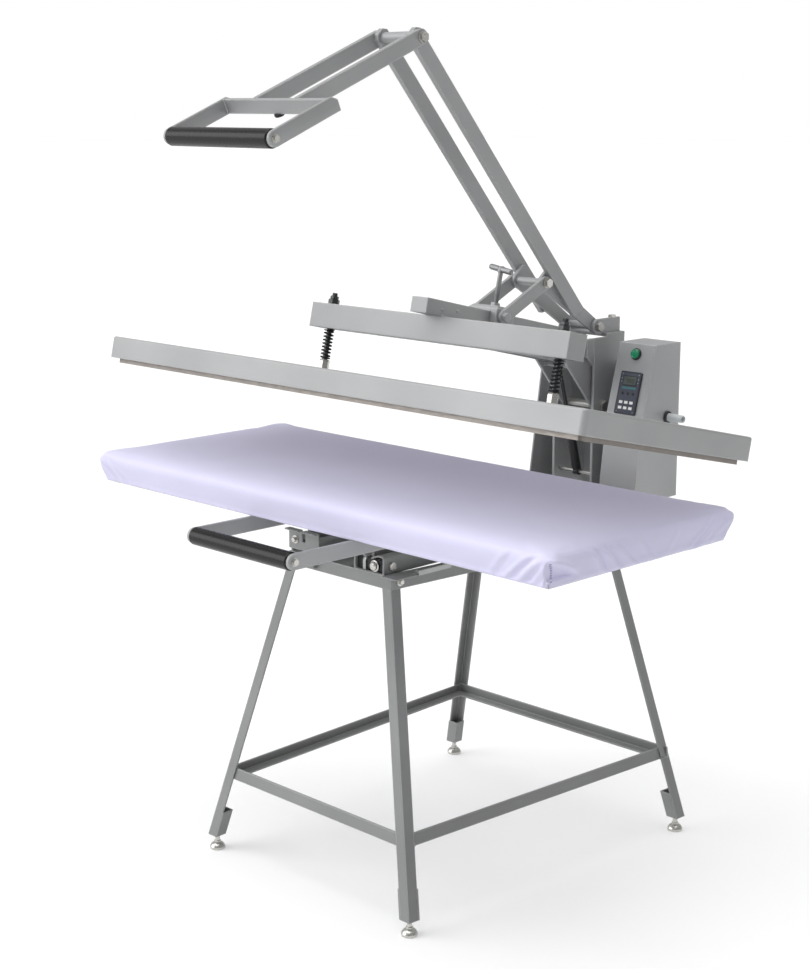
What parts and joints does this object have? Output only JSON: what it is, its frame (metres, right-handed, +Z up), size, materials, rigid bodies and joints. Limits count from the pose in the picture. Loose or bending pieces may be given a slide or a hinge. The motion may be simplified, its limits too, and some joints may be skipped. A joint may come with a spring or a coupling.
{
  "type": "flatbed ironing press",
  "caption": "Flatbed ironing press: wide heated platen on an over-centre lever and hinge above a padded sliding table, on a splayed stand with column and control box.",
  "frame": {"origin": "on the floor, at the centre of the outline in plan: midway between the tray's two ends, and midway between the upper grip's front and the column's back", "axes": "+Z up, +X to the operator's right along the platen's length, +Y away from the operator"},
  "size_m": [1.432, 1.19, 1.8195],
  "materials": {
    "stand_paint": "grey powder coat",
    "body_paint": "silver grey powder coat",
    "zinc": "zinc plated",
    "spring_steel": "black oxide",
    "plate_metal": "heat browned cast plate",
    "insulation": "mineral fibre",
    "board": "plain sheet",
    "cover": "soft cotton cover",
    "grip": "satin black",
    "black_plastic": "satin black",
    "controller": "satin slate",
    "key_white": "glossy white",
    "lamp_green": "clear green",
    "gland_grey": "light grey",
    "rubber": "matt black",
    "roller": "ground steel"
  },
  "bodies": {
    "stand": {"legs": "stand_paint", "leg_shoes": "stand_paint", "lower_rails": "stand_paint", "top_rails": "stand_paint", "slide_housing_left": "stand_paint", "slide_housing_right": "stand_paint", "column_left": "body_paint", "column_right": "body_paint", "column_back": "body_paint", "post_frame": "body_paint", "pivot_brackets": "body_paint", "frame_pins": "zinc", "frame_bolts": "zinc", "control_box": "body_paint", "controller_body": "controller", "lamp_bezel": "black_plastic", "lamp_lens": "lamp_green", "cable_gland": "gland_grey"},
    "table": {"table_board": "board", "table_pad": "cover", "table_frame": "stand_paint", "pull_bars": "body_paint", "pull_rod": "zinc"},
    "pull_grip": {"pull_grip": "grip"},
    "front_rollers": {"front_rollers": "roller"},
    "rear_rollers": {"rear_rollers": "roller"},
    "head": {"centre_arm": "body_paint", "head_spine": "body_paint", "cross_beam": "body_paint", "head_gussets": "body_paint", "trunnion_block": "zinc", "platen_springs": "spring_steel"},
    "platen": {"platen_tray": "body_paint", "insulation": "insulation", "heating_plate": "plate_metal", "spring_bolts": "zinc"},
    "pressure_screw": {"pressure_screw": "zinc"},
    "lever": {"rear_links": "body_paint", "long_arms": "body_paint", "lever_spacers": "zinc", "lever_bolts": "zinc"},
    "link": {"forward_links": "body_paint"},
    "handle": {"fork_bars": "body_paint", "cross_flat": "body_paint", "handle_sides": "body_paint", "handle_rod": "zinc", "handle_bumper": "rubber"},
    "top_grip": {"top_grip": "grip"},
    "strut_cylinder": {"strut_cylinder": "black_plastic"},
    "strut_rod": {"strut_rod": "zinc"},
    "foot_front_left": {"foot_front_left": "zinc"},
    "foot_front_right": {"foot_front_right": "zinc"},
    "foot_back_left": {"foot_back_left": "zinc"},
    "foot_back_right": {"foot_back_right": "zinc"},
    "key_1": {"key_1": "key_white"},
    "key_2": {"key_2": "key_white"},
    "key_3": {"key_3": "key_white"},
    "key_4": {"key_4": "key_white"},
    "key_5": {"key_5": "key_white"},
    "key_6": {"key_6": "key_white"}
  },
  "joints": [
    {"name": "lever_swing", "type": "hinge", "parent": "stand", "child": "lever", "pos_m": [0, 0.504, 1.153], "axis": [1, 0, 0], "range_deg": [0, 33.17]},
    {"name": "head_tilt", "type": "hinge", "parent": "stand", "child": "head", "pos_m": [0, 0.516, 0.962], "axis": [1, 0, 0], "range_deg": [0, 13]},
    {"name": "link_swing", "type": "hinge", "parent": "lever", "child": "link", "pos_m": [0, 0.318, 1.268], "axis": [1, 0, 0], "range_deg": [-48.2, 0]},
    {"name": "strut_swing", "type": "hinge", "parent": "stand", "child": "strut_cylinder", "pos_m": [0, 0.5, 0.8], "axis": [1, 0, 0], "range_deg": [0, 5.8]},
    {"name": "strut_slide", "type": "slide", "parent": "strut_cylinder", "child": "strut_rod", "axis": [0, -0.2729, 0.962], "range_m": [-0.0153, 0]},
    {"name": "platen_float", "type": "slide", "parent": "head", "child": "platen", "axis": [0, 0.225, 0.9744], "range_m": [0, 0.012], "stiffness_N_per_m": 20000, "springref_m": -0.01, "deforming": ["platen_springs"]},
    {"name": "pressure_screw_turn", "type": "hinge", "parent": "head", "child": "pressure_screw", "pos_m": [0, 0.20362, 1.22706], "axis": [0, 0.225, 0.9744], "continuous": true},
    {"name": "handle_fold", "type": "hinge", "parent": "lever", "child": "handle", "pos_m": [0, -0.1, 1.8], "axis": [1, 0, 0], "range_deg": [-15, 10]},
    {"name": "top_grip_spin", "type": "hinge", "parent": "handle", "child": "top_grip", "pos_m": [0, -0.576, 1.60381], "axis": [1, 0, 0], "continuous": true},
    {"name": "table_slide", "type": "slide", "parent": "stand", "child": "table", "axis": [0, -1, 0], "range_m": [0, 0.3]},
    {"name": "pull_grip_spin", "type": "hinge", "parent": "table", "child": "pull_grip", "pos_m": [0, -0.543, 0.79], "axis": [1, 0, 0], "continuous": true},
    {"name": "front_roller_spin", "type": "hinge", "parent": "stand", "child": "front_rollers", "pos_m": [0, -0.265, 0.7287], "axis": [1, 0, 0], "continuous": true},
    {"name": "rear_roller_spin", "type": "hinge", "parent": "table", "child": "rear_rollers", "pos_m": [0, 0.122, 0.7268], "axis": [1, 0, 0], "continuous": true},
    {"name": "foot_front_left_turn", "type": "hinge", "parent": "stand", "child": "foot_front_left", "pos_m": [-0.31157, -0.37702, 0.037], "axis": [0, 0, 1], "continuous": true},
    {"name": "foot_front_right_turn", "type": "hinge", "parent": "stand", "child": "foot_front_right", "pos_m": [0.31157, -0.37702, 0.037], "axis": [0, 0, 1], "continuous": true},
    {"name": "foot_back_left_turn", "type": "hinge", "parent": "stand", "child": "foot_back_left", "pos_m": [-0.3589, 0.45214, 0.037], "axis": [0, 0, 1], "continuous": true},
    {"name": "foot_back_right_turn", "type": "hinge", "parent": "stand", "child": "foot_back_right", "pos_m": [0.3589, 0.45214, 0.037], "axis": [0, 0, 1], "continuous": true},
    {"name": "key_1_press", "type": "slide", "parent": "stand", "child": "key_1", "axis": [0, 0.9639, -0.2661], "range_m": [0, 0.0006], "stiffness_N_per_m": 300, "springref_m": -0.0003},
    {"name": "key_2_press", "type": "slide", "parent": "stand", "child": "key_2", "axis": [0, 0.9639, -0.2661], "range_m": [0, 0.0006], "stiffness_N_per_m": 300, "springref_m": -0.0003},
    {"name": "key_3_press", "type": "slide", "parent": "stand", "child": "key_3", "axis": [0, 0.9639, -0.2661], "range_m": [0, 0.0006], "stiffness_N_per_m": 300, "springref_m": -0.0003},
    {"name": "key_4_press", "type": "slide", "parent": "stand", "child": "key_4", "axis": [0, 0.9639, -0.2661], "range_m": [0, 0.0006], "stiffness_N_per_m": 300, "springref_m": -0.0003},
    {"name": "key_5_press", "type": "slide", "parent": "stand", "child": "key_5", "axis": [0, 0.9639, -0.2661], "range_m": [0, 0.0006], "stiffness_N_per_m": 300, "springref_m": -0.0003},
    {"name": "key_6_press", "type": "slide", "parent": "stand", "child": "key_6", "axis": [0, 0.9639, -0.2661], "range_m": [0, 0.0006], "stiffness_N_per_m": 300, "springref_m": -0.0003}
  ],
  "couplings": [
    {"joint": "head_tilt", "follows": "lever_swing", "ratio": 0.39189},
    {"joint": "link_swing", "follows": "lever_swing", "ratio": -1.4511},
    {"joint": "strut_swing", "follows": "lever_swing", "ratio": 0.17351},
    {"joint": "strut_slide", "follows": "lever_swing", "m_per_rad": -0.026307},
    {"joint": "front_roller_spin", "follows": "table_slide", "rad_per_m": 76.923},
    {"joint": "rear_roller_spin", "follows": "table_slide", "rad_per_m": 76.923}
  ]
}
